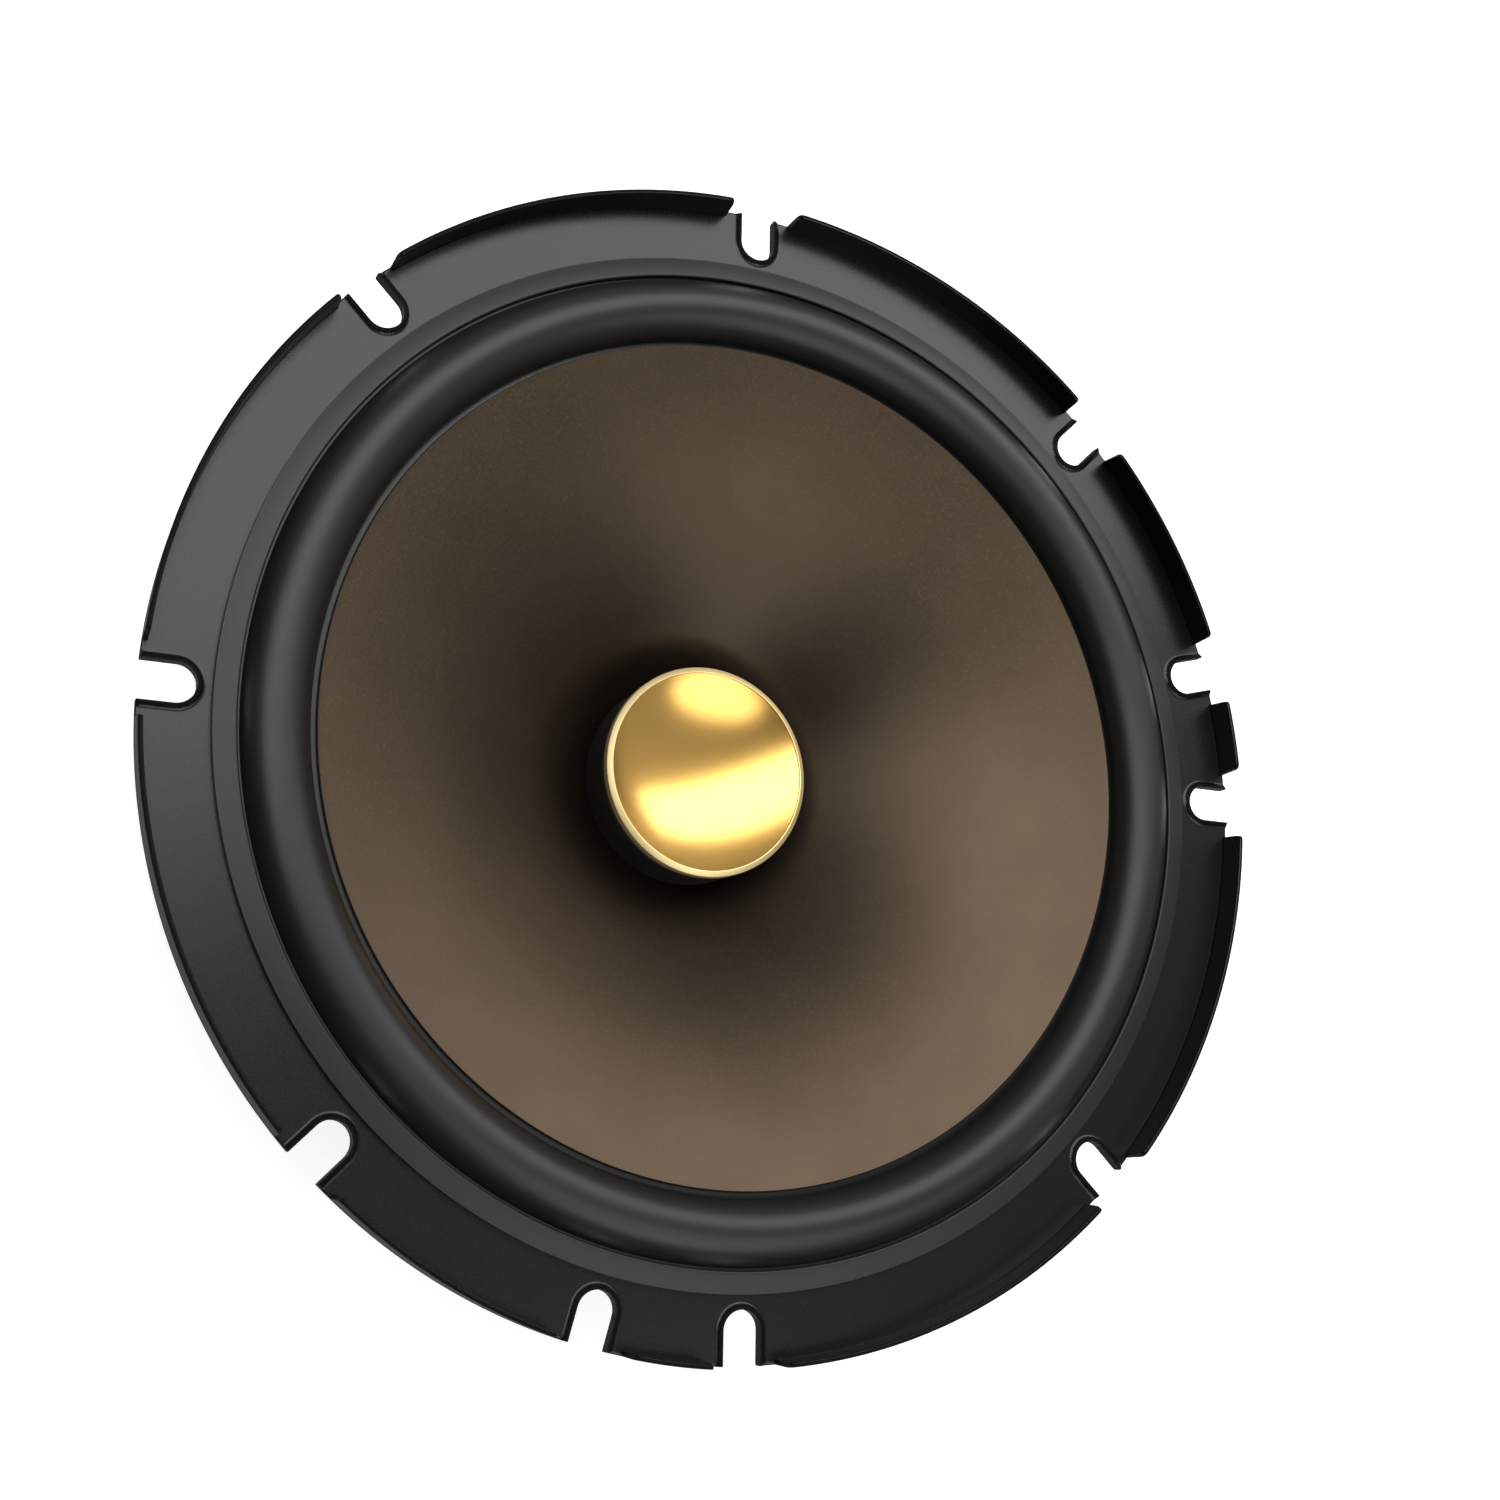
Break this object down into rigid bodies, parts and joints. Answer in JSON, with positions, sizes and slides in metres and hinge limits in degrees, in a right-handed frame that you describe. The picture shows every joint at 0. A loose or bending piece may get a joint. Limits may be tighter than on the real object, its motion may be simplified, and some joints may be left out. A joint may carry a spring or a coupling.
{
  "type": "car woofer",
  "caption": "Round car woofer with a slotted mounting flange, rubber surround, brown cone, gold centre cap, open basket, ring magnet motor and blade terminals; the cone moves along its axis.",
  "frame": {"origin": "centre of the flange's rear mounting face, on the speaker's axis", "axes": "+Z along the axis towards the listener, +Y towards the terminal side"},
  "size_m": [0.164, 0.164, 0.0739],
  "materials": {
    "frame_paint": "satin dark grey paint",
    "gasket_rubber": "matt dark grey rubber",
    "surround_rubber": "satin black rubber",
    "spider_cloth": "resin-treated woven cloth",
    "cone_fibre": "satin brown mica-filled diaphragm",
    "cap_gold": "polished gold anodising",
    "black_plastic": "matt black",
    "former_foil": "foil",
    "wrap_paper": "kraft paper",
    "copper_wire": "enamelled copper",
    "zinc_steel": "zinc-plated steel",
    "ferrite": "sintered ferrite",
    "screen_metal": "woven steel screen",
    "cover_rubber": "matt black rubber boot",
    "rivet_steel": "plated steel",
    "panel_board": "pressed phenolic board",
    "terminal_brass": "gold-flashed brass",
    "lead_braid": "braided tinsel",
    "solder": "solder"
  },
  "bodies": {
    "frame": {"basket": "frame_paint", "gasket_ring": "gasket_rubber", "surround": "surround_rubber", "spider": "spider_cloth", "top_plate": "zinc_steel", "magnet": "ferrite", "back_plate": "zinc_steel", "pole_piece": "zinc_steel", "pole_sleeve": "copper_wire", "vent_screen": "screen_metal", "magnet_cover": "cover_rubber", "motor_rivets": "rivet_steel", "panel_rivets": "rivet_steel", "terminal_panel": "panel_board", "positive_terminal": "terminal_brass", "negative_terminal": "terminal_brass", "tinsel_lead_positive": "lead_braid", "tinsel_lead_negative": "lead_braid"},
    "diaphragm": {"cone": "cone_fibre", "dust_cap": "cap_gold", "cap_collar": "black_plastic", "voice_coil_former": "former_foil", "former_wrap": "wrap_paper", "voice_coil_winding": "copper_wire", "coil_joints": "solder"}
  },
  "joints": [
    {"name": "cone_excursion", "type": "slide", "parent": "frame", "child": "diaphragm", "axis": [0, 0, 1], "range_m": [-0.004, 0.004], "stiffness_N_per_m": 1800, "deforming": ["surround", "spider", "tinsel_lead_positive", "tinsel_lead_negative"]}
  ]
}
